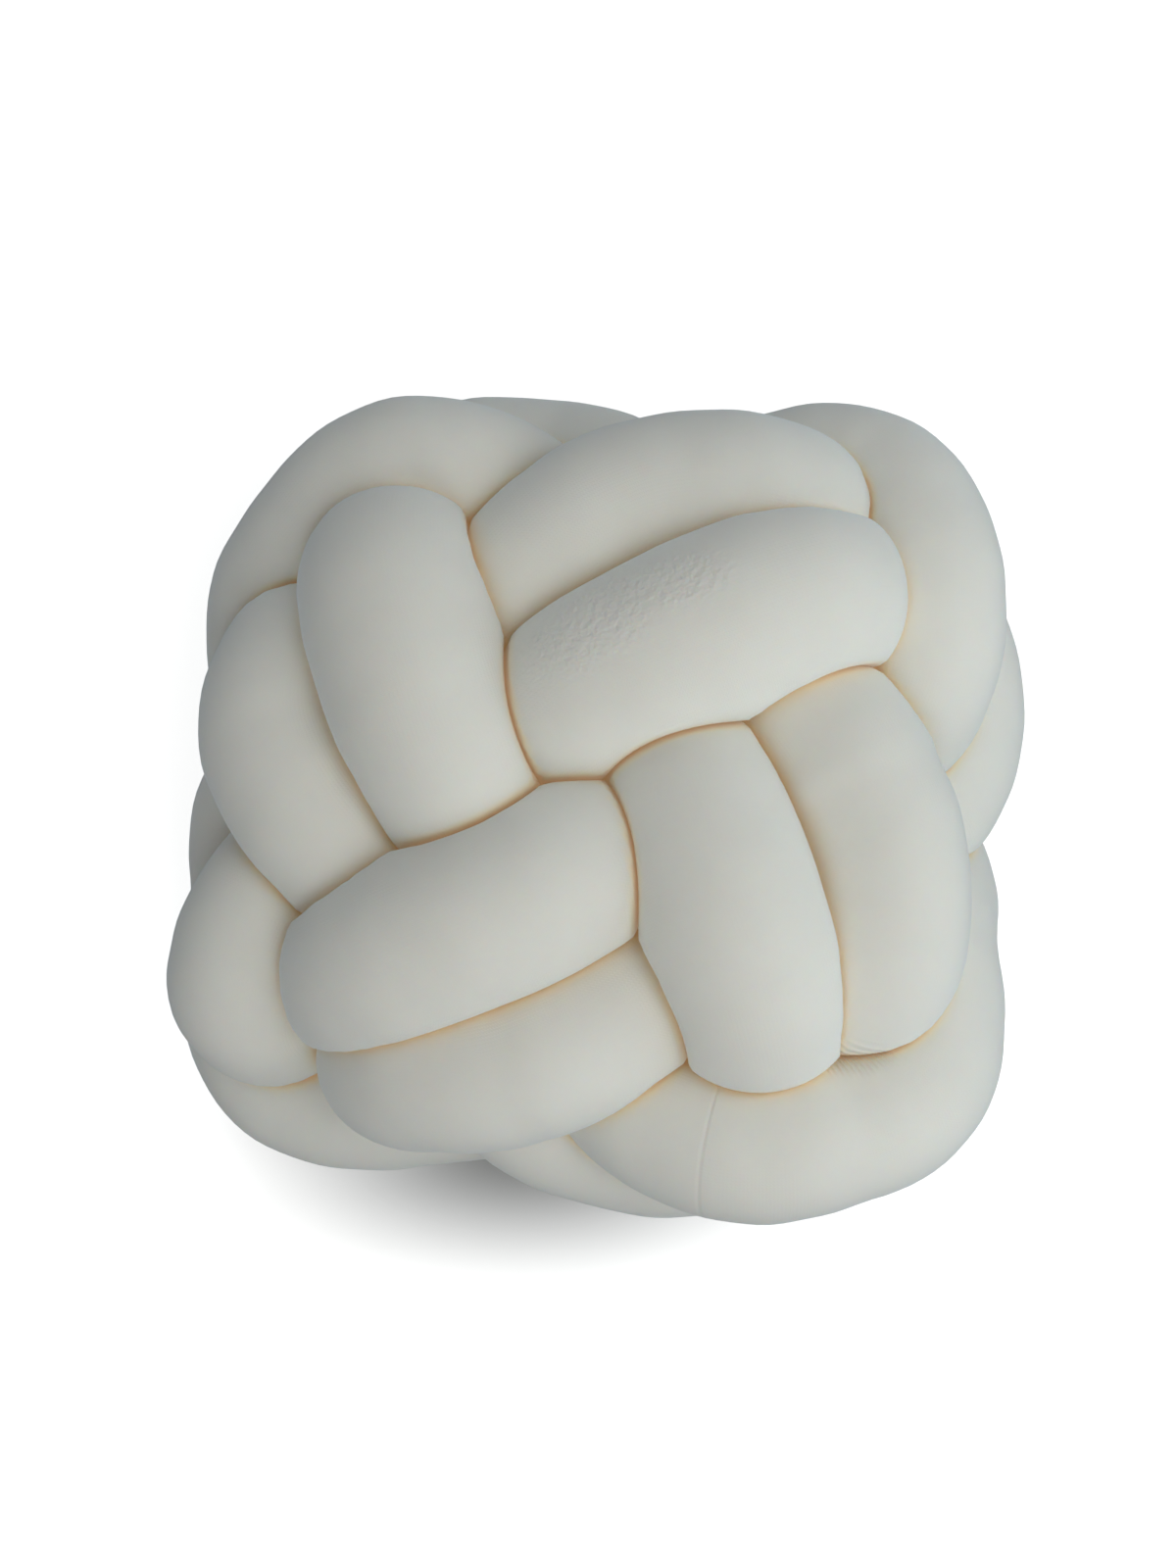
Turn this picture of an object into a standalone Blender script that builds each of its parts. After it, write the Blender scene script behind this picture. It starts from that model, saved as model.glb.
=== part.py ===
"""Knot cushion, lying on its back with its face up.

One long tube of knitted cloth, filled and sewn end to end, is tied into a square mat knot. It goes
round the knot twice, so every bar and every corner of the knot is two plies side by side. The face
shows four double bars, each over the next, like a pinwheel. Each bar turns into a corner that runs
round the rim, dives to the back, crosses it and comes up inside the next corner as the next bar.

The frame: +X is the right of the face, +Y its top and +Z points out of it. The origin lies on the
floor, under the middle of the outline. The tables below are in millimetres and degrees, and MIDDLE
is the place in them that comes to lie on the origin.
"""

import bpy
import numpy as np

MM = 0.001

# The tube: its radius where nothing presses on it
BAR_RADIUS = {1: 34.5, 2: 30.5}     # by ply
CORNER_RADIUS = 29.5
UNDER_RADIUS = 33.0         # where a bar goes under the next one
MOST_SWELL = 1.08           # how far a ring may grow where its neighbours squeeze it
PASS_GAP = 3.0              # air between two passes that touch
LEAST_RADIUS = 3.0          # of a ring in the tightest pinch
NEXT_POINT = 7.0            # points of the line nearer than this set no limit
CORNER_SHARPNESS = 8.0      # of the edge between a round flank and a pressed flat
AREA_STEPS = 10             # rounds of swelling that bring a squeezed ring back to its area

# The outline that holds the hidden stretches of the middle line
HALF_WIDTH = 127.5
HALF_DEPTH = 123.5
OUTLINE_POWER = 3.8
LOWEST_LINE = 25.0
HIGHEST_LINE = 137.0
MIDDLE = (-0.1, 6.3)        # of the whole outline in the tables, which comes to lie on the origin

# How the passes settle against each other
SETTLE_STEPS = 240
SETTLE_POINTS = 420
EVEN_OUT_EVERY = 20         # steps between two respacings of the points
PASS_SPACING = 46.0         # the least distance between two middle lines
OWN_STRETCH = 90.0          # a point doesn't push its own stretch within this length
HOLD = 0.5                  # pull of a measured stretch to its stations
TENSION = 0.12
HELD_TENSION = 0.2          # share of the tension that is left on a measured stretch
STIFFNESS = 0.3
STIFF_ROUNDS = 2            # in each step
PUSH = 0.45
PUSH_ROUNDS = 2
LAST_SMOOTHING = 12         # rounds of stiffness alone, after the last step

# The mesh
RINGS = 350
SIDES = 14
CURVE_STEPS = 20            # between two points of a line
LIMIT_POINTS = 1200         # of the whole line, where it limits the rings

TINY = 1e-6

# Each row is one stretch that shows on the face: its name, its ply, and the middle line of the tube
# at three to six stations from the stretch's start to its end. Ply 1 is the inner one of a bar, and
# the upper one of a corner.
STRETCHES = (
    # name, ply, (x, y, z), (x, y, z), ...
    ("left bar", 1, (-71, 93, 114), (-61, 40, 136), (-34, -8, 112)),
    ("left bar", 2, (-112, 64, 95), (-113, 20, 107), (-89, -21, 99)),
    ("lower right corner", 1, (9, -97, 80), (60, -113, 96), (101, -111, 90), (112, -80, 80),
     (112, -50, 60), (118, -36, 46)),
    ("lower right corner", 2, (-20, -104, 52), (50, -108, 38), (119, -77, 39)),
    ("top bar", 1, (90, 77, 118), (33, 52, 137), (-11, 22, 108)),
    ("top bar", 2, (98, 101, 98), (26, 113, 115), (-38, 75, 96)),
    ("lower left corner", 1, (-102, -20, 76), (-116, -50, 88), (-134, -77, 63), (-104, -68, 30)),
    ("lower left corner", 2, (-121, 6, 44), (-119, -38, 32), (-117, -76, 30), (-100, -90, 33),
     (-82, -93, 34), (-56, -84, 32)),
    ("right bar", 1, (63, -79, 118), (50, -32, 137), (25, 8, 108)),
    ("right bar", 2, (103, -76, 96), (108, -19, 118), (78, 43, 96)),
    ("upper left corner", 1, (-19, 110, 80), (-79, 101, 97), (-112, 68, 64)),
    ("upper left corner", 2, (4, 124, 50), (-30, 129, 46), (-66, 122, 44), (-116, 82, 40)),
    ("bottom bar", 1, (-74, -54, 78), (-80, -61, 112), (-34, -41, 137), (2, -16, 110)),
    ("bottom bar", 2, (-66, -78, 66), (-73, -86, 94), (-30, -98, 116), (16, -76, 103)),
    ("upper right corner", 1, (106, 29, 74), (107, 74, 94), (108, 102, 88), (84, 115, 74)),
    ("upper right corner", 2, (121, 8, 48), (123, 45, 44), (115, 82, 40), (95, 113, 38)),
)

# Where a bar goes under the next one: half way to its corner, at this height, by ply.
UNDER_HEIGHT = {1: 80.0, 2: 66.0}

# Each row is one station of a hidden stretch, behind the corner that leads into it: the ply, the
# angle round the face from the right of the first quarter, the distance from the centre, the height,
# the tube's radius, and how firmly it is held next to a stretch that shows.
BACK_STATIONS = (
    # ply, angle, distance, height, radius, hold
    (1, 349, 101, 37, 29, 0.3),
    (1, 360, 108, 27, 29, 0.3),
    (1, 377, 101, 31, 29, 0.3),
    (1, 394, 108, 66, 29, 0.3),
    (2, 340, 88, 28, 29, 0.3),
    (2, 362, 34, 28, 38, 0.8),
    (2, 390, 80, 34, 29, 0.3),
    (2, 410, 116, 64, 29, 0.3),
)

# The quarters in the order in which the tube meets them, each with the bar and the corner it has.
# A quarter's turn is how far it is turned from the first, counterclockwise seen from the face, and
# its spread is how far out its hidden stretch lies, as a share of the distances above.
QUARTERS = (
    # bar, corner, turn, spread
    ("left bar", "lower right corner", 0, 1.05),
    ("top bar", "lower left corner", 270, 0.95),
    ("right bar", "upper left corner", 540, 1.0),
    ("bottom bar", "upper right corner", 810, 1.0),
)

# The ply on which the tube goes through each quarter, over the two rounds. The two plies change
# places behind the lower left corner, which is what makes one tube of them.
PLY_ORDER = (1, 1, 2, 2, 2, 2, 1, 1)

CLOTH_COLOUR = (0.83, 0.80, 0.72, 1.0)
CLOTH_ROUGHNESS = 0.9


def stations_of(name, ply):
    """The stations of a stretch that shows."""
    rows = [row for row in STRETCHES if row[:2] == (name, ply)]
    return np.array(rows[0][2:], float)


def back_stations(ply, turn, spread):
    """The stations of a hidden stretch, turned to its quarter, each with its radius and hold."""
    rows = np.array([row[1:] for row in BACK_STATIONS if row[0] == ply], float)
    angle = np.radians(rows[:, 0] + turn)
    across = np.stack([np.cos(angle), np.sin(angle)], axis=1) * rows[:, 1, None] * spread
    return np.concatenate([across, rows[:, 2:]], axis=1)


def route():
    """The stations of the whole closed tube in order, how firmly each is held, and the tube's radius
    at each."""
    points = []
    hold = []
    radius = []
    for step, ply in enumerate(PLY_ORDER):
        bar, corner, turn, spread = QUARTERS[step % len(QUARTERS)]
        next_ply = PLY_ORDER[(step + 1) % len(PLY_ORDER)]
        over = stations_of(bar, ply)
        around = stations_of(corner, ply)
        under = (over[-1:] + around[:1]) / 2
        under[0, 2] = UNDER_HEIGHT[ply]
        hidden = back_stations(next_ply, turn, spread)
        points += [over, under, around, hidden[:, :3]]
        hold += [1.0] * len(over) + [0.0] + [1.0] * len(around) + hidden[:, 4].tolist()
        radius += [BAR_RADIUS[ply]] * len(over) + [UNDER_RADIUS]
        radius += [CORNER_RADIUS] * len(around) + hidden[:, 3].tolist()
    return np.concatenate(points), np.array(hold), np.array(radius)


def lengths_along(points):
    """The length from the first point to each point of a closed line, and to the first again."""
    steps = np.linalg.norm(np.roll(points, -1, axis=0) - points, axis=1)
    return np.concatenate([[0.0], np.cumsum(steps)])


def evenly(values, along, count):
    """Values given at the lengths along a closed line, read at evenly spaced lengths."""
    where = np.linspace(0.0, along[-1], count, endpoint=False)
    closed = np.concatenate([values, values[:1]])
    columns = closed.reshape(len(closed), -1).T
    return np.stack([np.interp(where, along, column) for column in columns], axis=1)


def fine_curve(stations):
    """A smooth closed curve through the stations: cubic pieces whose slope at each station is the
    mean of the slopes to both sides, weighed by the other side's span."""
    span = np.sqrt(np.linalg.norm(np.roll(stations, -1, axis=0) - stations, axis=1))
    slope = (np.roll(stations, -1, axis=0) - stations) / span[:, None]
    before = np.roll(span, 1)[:, None]
    after = span[:, None]
    tangent = (np.roll(slope, 1, axis=0) * after + slope * before) / (before + after)
    t = np.linspace(0.0, 1.0, CURVE_STEPS, endpoint=False)[None, :, None]
    start, end = stations[:, None], np.roll(stations, -1, axis=0)[:, None]
    leave = (tangent * after)[:, None]
    arrive = (np.roll(tangent, -1, axis=0) * after)[:, None]
    curve = (
        (2 * t**3 - 3 * t**2 + 1) * start
        + (t**3 - 2 * t**2 + t) * leave
        + (3 * t**2 - 2 * t**3) * end
        + (t**3 - t**2) * arrive
    )
    return curve.reshape(-1, 3)


def between(values):
    """Values given at the stations, read at the points of the fine curve."""
    t = np.linspace(0.0, 1.0, CURVE_STEPS, endpoint=False)[None]
    return ((1 - t) * values[:, None] + t * np.roll(values, -1)[:, None]).reshape(-1)


def headings(curve):
    """The unit vector along a closed curve at each of its points."""
    heading = np.roll(curve, -1, axis=0) - np.roll(curve, 1, axis=0)
    return heading / np.linalg.norm(heading, axis=1)[:, None]


def ring_places(curve, heading):
    """The length along the outer flank at each point of the middle line, so that rings spaced evenly
    by it lie closer in the bends."""
    length = np.linalg.norm(np.roll(curve, -1, axis=0) - curve, axis=1)
    turn = np.linalg.norm(np.roll(heading, -1, axis=0) - heading, axis=1)
    return np.concatenate([[0.0], np.cumsum(length + CORNER_RADIUS * turn)])


def half_way_back(points):
    """From each point to the middle of its two neighbours."""
    return (np.roll(points, 1, axis=0) + np.roll(points, -1, axis=0)) / 2 - points


def push_apart(points):
    """Moves each point away from those of other passes that are nearer than PASS_SPACING."""
    count = len(points)
    step = lengths_along(points)[-1] / count
    index = np.arange(count)
    apart = np.abs(index[:, None] - index[None])
    apart = np.minimum(apart, count - apart) * step
    offset = points[:, None] - points[None]
    distance = np.linalg.norm(offset, axis=2)
    near = (distance < PASS_SPACING) & (apart > OWN_STRETCH)
    lack = np.where(near, PASS_SPACING - distance, 0.0)
    push = offset / np.maximum(distance, TINY)[..., None] * lack[..., None]
    return points + PUSH * push.sum(axis=1) / np.maximum(near.sum(axis=1), 1)[:, None]


def keep_inside(points, hold):
    """Draws the points into the height, and half of the way in to the square outline with round
    corners. The more a point is held, the less the outline draws it."""
    points = points.copy()
    points[:, 2] = np.clip(points[:, 2], LOWEST_LINE, HIGHEST_LINE)
    reach = (
        np.abs(points[:, 0] / HALF_WIDTH) ** OUTLINE_POWER
        + np.abs(points[:, 1] / HALF_DEPTH) ** OUTLINE_POWER
    )
    shrink = np.maximum(reach, 1.0) ** (-1.0 / OUTLINE_POWER)
    points[:, :2] *= (1 + (1 - hold) * (shrink - 1) / 2)[:, None]
    return points


def settle(points, hold, radius):
    """Lets the passes find room beside each other. In each step the line is pulled taut a little,
    kept from kinking, drawn to the measured stretches, pushed off its neighbours and kept inside
    the outline. The radius only rides along."""
    wanted = points.copy()
    for step in range(SETTLE_STEPS):
        taut = TENSION * (1 - (1 - HELD_TENSION) * hold)
        points = points + taut[:, None] * half_way_back(points)
        for _ in range(STIFF_ROUNDS):
            points = points - STIFFNESS * half_way_back(half_way_back(points))
        points = points + HOLD * hold[:, None] * (wanted - points)
        for _ in range(PUSH_ROUNDS):
            points = push_apart(points)
        points = keep_inside(points, hold)
        if (step + 1) % EVEN_OUT_EVERY == 0:
            along = lengths_along(points)
            count = len(points)
            hold = evenly(hold, along, count)[:, 0]
            radius = evenly(radius, along, count)[:, 0]
            wanted = evenly(wanted, along, count)
            points = evenly(points, along, count)
    for _ in range(LAST_SMOOTHING):
        points = points - STIFFNESS * half_way_back(half_way_back(points))
    return points - (*MIDDLE, 0.0), radius


def ring_frames(tangent):
    """Two unit vectors across a closed line at each point, carried along it without twist. The turn
    that is left when it closes is spread over the whole length."""
    side = np.zeros_like(tangent)
    last = np.cross(tangent[0], (0.0, 0.0, 1.0))
    for k, along in enumerate(tangent):
        last = last - along * (last @ along)
        last = last / np.linalg.norm(last)
        side[k] = last
    up = np.cross(tangent, side)
    last = last - tangent[0] * (last @ tangent[0])
    left = -np.arctan2(last @ up[0], last @ side[0])
    return side, up, left * np.arange(len(side)) / len(side)


def room(line, whole, directions):
    """How far the tube may reach from each ring's middle in each direction. The plane half way to
    any other point of the whole middle line is the limit, so two passes share the space between
    them, and a bend doesn't fold into itself."""
    reach = np.full(directions.shape[:2], np.inf)
    for point in whole:
        offset = point - line
        forward = (directions * offset[:, None]).sum(axis=2)
        far = (offset**2).sum(axis=1)[:, None]
        ahead = (forward > TINY) & (far > NEXT_POINT**2)
        reach = np.where(ahead, np.minimum(reach, far / np.maximum(2 * forward, TINY)), reach)
    return np.maximum(reach - PASS_GAP / 2, LEAST_RADIUS)


def rings(line, tangent, free_radius, whole):
    """The points of all rings. A ring is round where it is free and flat where the room ends; it
    swells a little to keep its area, and its base is flat on the floor."""
    side, up, twist = ring_frames(tangent)
    angle = np.linspace(0, 2 * np.pi, SIDES, endpoint=False)[None] + twist[:, None]
    directions = np.cos(angle)[..., None] * side[:, None] + np.sin(angle)[..., None] * up[:, None]
    limit = room(line, whole, directions)
    floor = line[:, 2, None] / np.maximum(-directions[..., 2], TINY)
    radius = free_radius
    for _ in range(AREA_STEPS):
        power = -CORNER_SHARPNESS
        reach = np.minimum((radius[:, None] ** power + limit**power) ** (1 / power), floor)
        area = (reach * np.roll(reach, -1, axis=1)).sum(axis=1) * np.sin(2 * np.pi / SIDES) / 2
        radius = radius * np.sqrt(np.pi * free_radius**2 / area)
        radius = np.clip(radius, free_radius, free_radius * MOST_SWELL)
    points = line[:, None] + reach[..., None] * directions
    points[..., 2] = np.maximum(points[..., 2], 0.0)
    return points


def tube_mesh(points):
    """A closed mesh of quads between neighbouring rings, the last joined to the first."""
    count, sides = points.shape[:2]
    ring = np.arange(count)[:, None] * sides
    after = np.roll(ring, -1, axis=0)
    side = np.arange(sides)[None]
    turn = np.roll(side, -1, axis=1)
    quads = np.stack([ring + side, ring + turn, after + turn, after + side], axis=2)
    mesh = bpy.data.meshes.new("knot_tube")
    mesh.from_pydata((points.reshape(-1, 3) * MM).tolist(), [], quads.reshape(-1, 4).tolist())
    mesh.shade_smooth()
    return mesh


def cloth():
    """Ivory knitted cloth, quite matte."""
    material = bpy.data.materials.new("ivory knit")
    material.use_nodes = True
    shader = material.node_tree.nodes["Principled BSDF"]
    shader.inputs["Base Color"].default_value = CLOTH_COLOUR
    shader.inputs["Roughness"].default_value = CLOTH_ROUGHNESS
    shader.inputs["Metallic"].default_value = 0.0
    return material


def clear_scene():
    """Removes what the scene starts with."""
    for thing in list(bpy.data.objects):
        bpy.data.objects.remove(thing)


def main():
    """Builds the cushion."""
    clear_scene()
    stations, hold, radius = route()
    curve = fine_curve(stations)
    along = lengths_along(curve)
    line = evenly(curve, along, SETTLE_POINTS)
    hold = evenly(between(hold), along, SETTLE_POINTS)[:, 0]
    radius = evenly(between(radius), along, SETTLE_POINTS)[:, 0]
    line, radius = settle(line, hold, radius)
    curve = fine_curve(line)
    whole = evenly(curve, lengths_along(curve), LIMIT_POINTS)
    heading = headings(curve)
    places = ring_places(curve, heading)
    line = evenly(curve, places, RINGS)
    tangent = evenly(heading, places, RINGS)
    tangent /= np.linalg.norm(tangent, axis=1)[:, None]
    radius = evenly(between(radius), places, RINGS)[:, 0]
    tube = bpy.data.objects.new("knot_tube", tube_mesh(rings(line, tangent, radius, whole)))
    tube.data.materials.append(cloth())
    bpy.context.scene.collection.objects.link(tube)


main()
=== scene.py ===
"""Knot cushion, dressed for its portrait.

One long tube of smooth ivory knit, filled and sewn end to end, is tied into a square mat knot and
lies on its back. This file holds its sizes and colours, the operators that make the tube and the
stage, and a panel that lists them. The shape of the knot is in millimetres. The relief of the knit,
the settings and the stage are in metres.
"""

import math

import bpy
import numpy as np
from bpy.props import FloatProperty, FloatVectorProperty, IntProperty, PointerProperty
from bpy.types import Operator, Panel, PropertyGroup
from mathutils import Matrix


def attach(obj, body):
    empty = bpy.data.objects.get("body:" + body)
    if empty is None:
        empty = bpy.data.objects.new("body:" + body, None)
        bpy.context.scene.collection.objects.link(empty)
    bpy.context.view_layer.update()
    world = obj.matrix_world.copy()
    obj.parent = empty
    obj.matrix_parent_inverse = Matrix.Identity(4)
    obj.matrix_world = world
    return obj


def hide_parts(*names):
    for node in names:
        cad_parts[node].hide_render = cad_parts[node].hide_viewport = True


bl_info = {
    "name": "Knot Cushion",
    "version": (1, 0, 0),
    "blender": (4, 5, 0),
    "location": "View3D > Sidebar > Cushion",
    "description": "Makes a cushion knotted from one filled knit tube, and the stage it lies on",
    "category": "Object",
}

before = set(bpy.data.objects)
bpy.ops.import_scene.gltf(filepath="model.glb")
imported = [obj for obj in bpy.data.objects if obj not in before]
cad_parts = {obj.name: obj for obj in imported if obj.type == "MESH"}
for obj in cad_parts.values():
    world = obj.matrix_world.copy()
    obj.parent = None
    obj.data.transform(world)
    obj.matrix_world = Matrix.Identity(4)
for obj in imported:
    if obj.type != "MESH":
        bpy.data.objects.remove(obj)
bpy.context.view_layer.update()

MM = 0.001
TINY = 1e-6

# The tube where it shows: its radius where nothing presses on it
BAR_RADIUS = {1: 34.5, 2: 30.5}     # by ply
CORNER_RADIUS = 29.5
UNDER_RADIUS = 33.0         # where a bar goes under the next one
MOST_SWELL = 1.08           # how far a ring may grow where its neighbours squeeze it
LEAST_RADIUS = 3.0          # of a ring in the tightest pinch
NEXT_POINT = 7.0            # points of the line nearer than this set no limit
FAR_POINT = 90.0            # nor do points further than this
CORNER_SHARPNESS = 16.0     # of the edge between a round flank and a pressed flat
AREA_STEPS = 10             # rounds of swelling that bring a squeezed ring back to its area
CREASE_FADE = 1.6           # the room over which a crease fades to a third

# Soft waves of the filling: turns along the whole tube, turns round it, start in radians, height
STUFFING_WAVES = (
    (89, 1, 0.4, 0.22),
    (137, -2, 2.1, 0.16),
    (211, 2, 4.0, 0.12),
    (293, -3, 1.2, 0.08),
    (61, 0, 5.1, 0.20),
)

# The outline that holds the hidden stretches of the middle line
HALF_WIDTH = 127.5
HALF_DEPTH = 123.5
OUTLINE_POWER = 3.8
LOWEST_LINE = 25.0
HIGHEST_LINE = 137.0
MIDDLE = (-0.1, 6.3)        # of the whole outline in the tables, which comes to lie on the origin

# How the passes settle against each other
SETTLE_STEPS = 240
SETTLE_POINTS = 420
EVEN_OUT_EVERY = 20         # steps between two respacings of the points
PASS_SPACING = 46.0         # the least distance between two middle lines
OWN_STRETCH = 90.0          # a point doesn't push its own stretch within this length
HOLD = 0.5                  # pull of a measured stretch to its stations
TENSION = 0.12
HELD_TENSION = 0.2          # share of the tension that is left on a measured stretch
STIFFNESS = 0.3
STIFF_ROUNDS = 2            # in each step
PUSH = 0.45
PUSH_ROUNDS = 2
LAST_SMOOTHING = 12         # rounds of stiffness alone, after the last step

CURVE_STEPS = 20            # between two points of a line
LIMIT_POINTS = 1200         # of the whole line, where it limits the rings

# Each row is one stretch that shows on the face: its name, its ply, and the middle line of the tube
# at three to six stations from the stretch's start to its end. Ply 1 is the inner one of a bar, and
# the upper one of a corner.
STRETCHES = (
    # name, ply, (x, y, z), (x, y, z), ...
    ("left bar", 1, (-71, 93, 114), (-61, 40, 136), (-34, -8, 112)),
    ("left bar", 2, (-112, 64, 95), (-113, 20, 107), (-89, -21, 99)),
    ("lower right corner", 1, (9, -97, 80), (60, -113, 96), (101, -111, 90), (112, -80, 80),
     (112, -50, 60), (118, -36, 46)),
    ("lower right corner", 2, (-20, -104, 52), (50, -108, 38), (119, -77, 39)),
    ("top bar", 1, (90, 77, 118), (33, 52, 137), (-11, 22, 108)),
    ("top bar", 2, (98, 101, 98), (26, 113, 115), (-38, 75, 96)),
    ("lower left corner", 1, (-102, -20, 76), (-116, -50, 88), (-134, -77, 63), (-104, -68, 30)),
    ("lower left corner", 2, (-121, 6, 44), (-119, -38, 32), (-117, -76, 30), (-100, -90, 33),
     (-82, -93, 34), (-56, -84, 32)),
    ("right bar", 1, (63, -79, 118), (50, -32, 137), (25, 8, 108)),
    ("right bar", 2, (103, -76, 96), (108, -19, 118), (78, 43, 96)),
    ("upper left corner", 1, (-19, 110, 80), (-79, 101, 97), (-112, 68, 64)),
    ("upper left corner", 2, (4, 124, 50), (-30, 129, 46), (-66, 122, 44), (-116, 82, 40)),
    ("bottom bar", 1, (-74, -54, 78), (-80, -61, 112), (-34, -41, 137), (2, -16, 110)),
    ("bottom bar", 2, (-66, -78, 66), (-73, -86, 94), (-30, -98, 116), (16, -76, 103)),
    ("upper right corner", 1, (106, 29, 74), (107, 74, 94), (108, 102, 88), (84, 115, 74)),
    ("upper right corner", 2, (121, 8, 48), (123, 45, 44), (115, 82, 40), (95, 113, 38)),
)

# Where a bar goes under the next one: half way to its corner, at this height, by ply.
UNDER_HEIGHT = {1: 80.0, 2: 66.0}

# Each row is one station of a hidden stretch, behind the corner that leads into it: the ply, the
# angle round the face from the right of the first quarter, the distance from the centre, the height,
# the tube's radius, and how firmly it is held next to a stretch that shows.
BACK_STATIONS = (
    # ply, angle, distance, height, radius, hold
    (1, 349, 101, 37, 29, 0.3),
    (1, 360, 108, 27, 29, 0.3),
    (1, 377, 101, 31, 29, 0.3),
    (1, 394, 108, 66, 29, 0.3),
    (2, 340, 88, 28, 29, 0.3),
    (2, 362, 34, 28, 38, 0.8),
    (2, 390, 80, 34, 29, 0.3),
    (2, 410, 116, 64, 29, 0.3),
)

# The quarters in the order in which the tube meets them, each with the bar and the corner it has.
# A quarter's turn is how far it is turned from the first, counterclockwise seen from the face, and
# its spread is how far out its hidden stretch lies, as a share of the distances above.
QUARTERS = (
    # bar, corner, turn, spread
    ("left bar", "lower right corner", 0, 1.05),
    ("top bar", "lower left corner", 270, 0.95),
    ("right bar", "upper left corner", 540, 1.0),
    ("bottom bar", "upper right corner", 810, 1.0),
)

# The ply on which the tube goes through each quarter, over the two rounds. The two plies change
# places behind the lower left corner, which is what makes one tube of them.
PLY_ORDER = (1, 1, 2, 2, 2, 2, 1, 1)

# Spots of the cloth with a relief of their own: the middle, the turn in degrees, and the half sizes
PILLED_SPOTS = (
    ((0.004, 0.052, 0.165), 30.0, (0.042, 0.024, 0.035)),
    ((0.036, 0.066, 0.165), 12.0, (0.030, 0.016, 0.035)),
)
GATHERED_SPOTS = (
    ((0.014, -0.029, 0.120), 20.0, (0.012, 0.030, 0.035)),
    ((0.097, -0.101, 0.105), 0.0, (0.022, 0.010, 0.035)),
)
SPOT_CORE = 0.4             # the inner share of a spot where its relief is whole
GATHER_STEP = 0.0021        # from one small fold to the next

# The sewn join across the tube, as a share of its whole length, and its half width in courses
JOIN_PLACE = 0.056
JOIN_WIDTH = 1.1

# The fine relief of the knit
STITCH_SLANT = 1.4          # courses that an arm of a stitch's V climbs for each wale
STITCH_HEIGHT = 0.00018
STITCH_STRENGTH = 0.18
NAP_SCALE = 900.0           # cells of the noise in a metre, as in all scales here
NAP_DETAIL = 3.0
NAP_SHARE = 0.6             # of a stitch's height

# The broad relief: pills, small folds and the join
PILL_SCALE = 400.0
PILL_DETAIL = 1.0
PILL_HEIGHT = 0.0008
FOLD_SHARE = 0.36           # of a pill's height
JOIN_SHARE = 0.28           # of a pill's height, and inwards

# Broad clouds in the colour of the knit, and the share of its brightness in the darkest and lightest
CLOUD_SCALE = 38.0
CLOUD_DETAIL = 4.0
CLOUD_ROUGHNESS = 0.55
CLOUD_SHADES = (0.965, 1.03)

# How close to a crease each painted tint starts, and where it is whole. 1 is the crease itself.
# The tints are painted light and shade: warm bounce light beside a crease, warm shade and a glow deep
# in it
PAINTED_BOUNCE_RANGE = (0.03, 0.5)
PAINTED_CREASE_SHADE_RANGE = (0.30, 0.8)
PAINTED_GLOW_RANGE = (0.45, 0.95)

# The sockets of a Mix node that hold its colours
MIX_FROM = 6
MIX_TO = 7
MIX_OUT = 2

# The floor's flat middle bends up into a wall
SWEEP_RADIUS = 4.0
SWEEP_BEND = 1.5
SWEEP_HEIGHT = 4.0
SWEEP_SIDES = 96
FLAT_RINGS = (0.5, 1.5)     # distances of the rings on the flat
BEND_RINGS = 13

# A painted shadow on the floor, close under the cushion's near edge: the middle and half size in
# metres, and the share of its colour that is left in the middle
PAINTED_SHADOW_SHARE = 0.55
PAINTED_SHADOW_PLACE = (-0.035, -0.135)
PAINTED_SHADOW_REACH = (0.15, 0.070)

# The soft lights: name, share of the power, colour, and place
LIGHTS = (
    ("right low", 0.34, (0.74, 0.9, 1.0), (1.87, 0.0, 0.33)),
    ("right high", 0.33, (1.0, 0.99, 0.95), (0.95, -0.08, 1.65)),
    ("near", 0.3, (0.93, 0.98, 1.0), (0.0, -1.46, 1.22)),
    ("far low", 0.16, (0.72, 0.87, 1.0), (-0.48, 1.78, 0.46)),
    ("left low", 0.04, (0.72, 0.87, 1.0), (-1.82, -0.32, 0.46)),
)
LIGHT_SIZE = 1.4
LIGHT_TARGET = (0.0, 0.0, 0.08)

# The picture is 1200 by 1600 pixels, and the cushion's middle falls on this one.
PICTURE = (1200, 1600)
MIDDLE_PIXEL = (605, 826)
MIDDLE_HEIGHT = 0.0825
VIEW_TURN = 3.5             # degrees that the camera stands to the right
VIEW_RISE = 83.5            # degrees above the floor
SENSOR = 36.0               # the longer side of the camera's sensor, in millimetres
NEAREST = 0.05              # what is nearer to the camera isn't drawn


def stations_of(name, ply):
    """The stations of a stretch that shows."""
    rows = [row for row in STRETCHES if row[:2] == (name, ply)]
    return np.array(rows[0][2:], float)


def back_stations(ply, turn, spread):
    """The stations of a hidden stretch, turned to its quarter, each with its radius and hold."""
    rows = np.array([row[1:] for row in BACK_STATIONS if row[0] == ply], float)
    angle = np.radians(rows[:, 0] + turn)
    across = np.stack([np.cos(angle), np.sin(angle)], axis=1) * rows[:, 1, None] * spread
    return np.concatenate([across, rows[:, 2:]], axis=1)


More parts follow.
